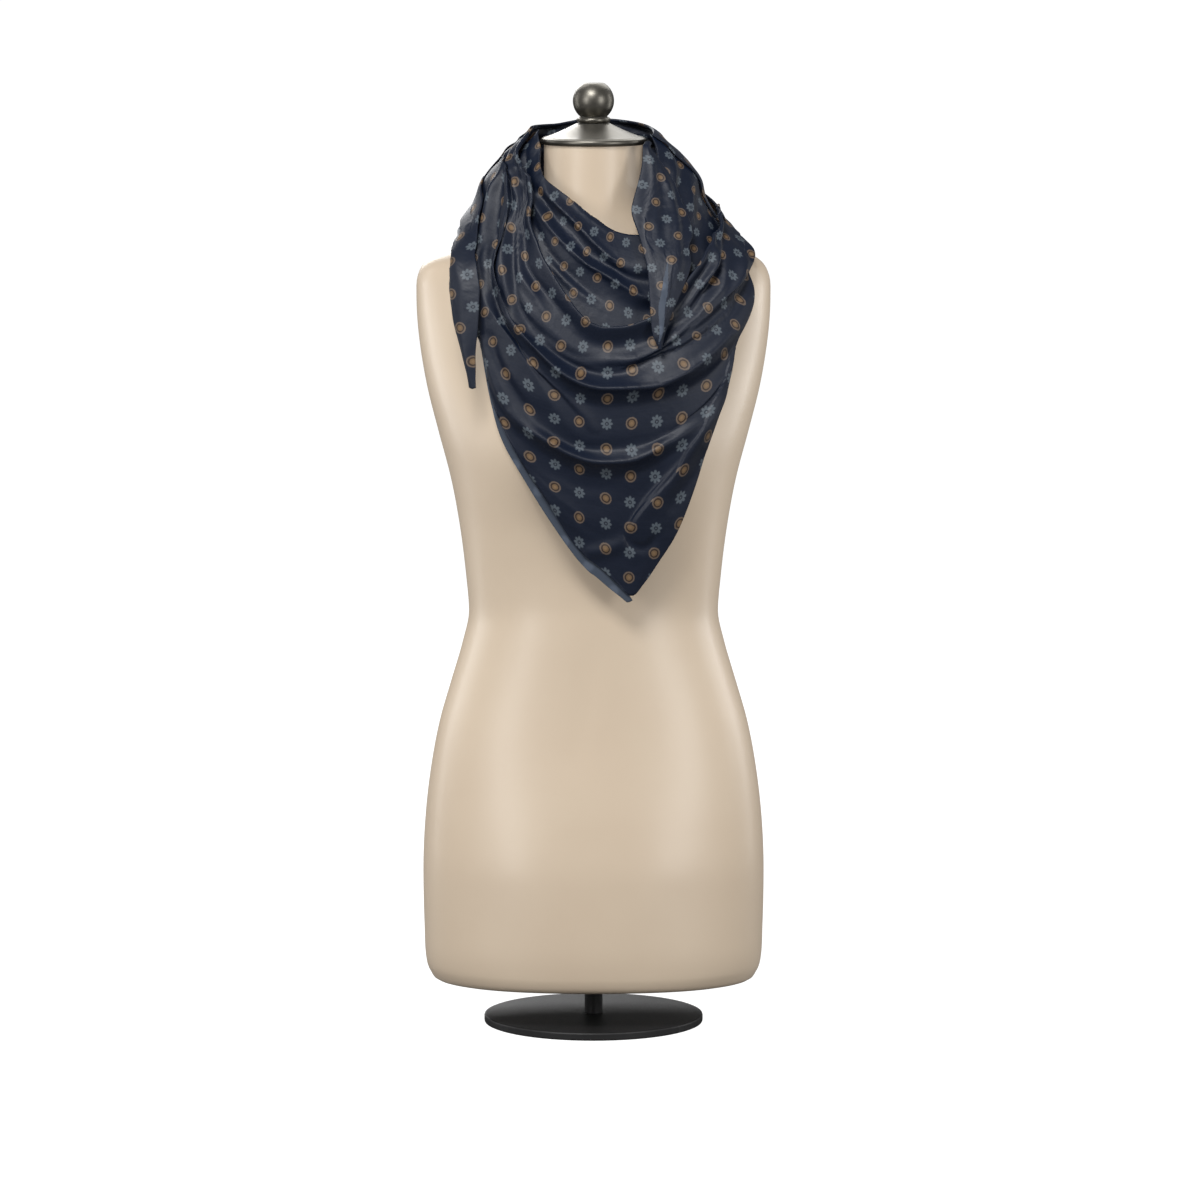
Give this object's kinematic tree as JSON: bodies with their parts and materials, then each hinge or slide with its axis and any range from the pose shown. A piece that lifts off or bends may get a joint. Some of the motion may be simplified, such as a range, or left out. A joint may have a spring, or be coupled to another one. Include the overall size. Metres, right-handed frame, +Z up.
{
  "type": "scarf wrap on limbless dress form",
  "caption": "Navy satin square scarf with a small medallion and floret print, folded corner to corner and worn as a cowl on a limbless dress form with a metal neck cap and a low round base.",
  "frame": {"origin": "Middle of the underside of the round base, on the axis of the pole and the neck", "axes": "+Z up along the pole, -Y the front of the form, +X the wearer's left"},
  "size_m": [0.352, 0.2515, 0.9429],
  "materials": {
    "satin": "satin weave with a printed face",
    "satin_reverse": "matt reverse of the printed satin",
    "form_skin": "smooth moulded shell, lightly polished",
    "gunmetal": "turned and dark plated",
    "black_steel": "black powder coat"
  },
  "bodies": {
    "root": {"scarf_front_bib": "satin", "scarf_neck_band": "satin", "scarf_right_tail": "satin", "scarf_left_tail": "satin", "scarf_back_wrap_under": "satin", "scarf_back_wrap_over": "satin", "scarf_under_layer": "satin_reverse", "form_torso": "form_skin", "form_neck_cap": "gunmetal", "form_collar": "gunmetal", "form_ball": "gunmetal", "form_pole": "black_steel", "form_base": "black_steel"}
  },
  "joints": []
}
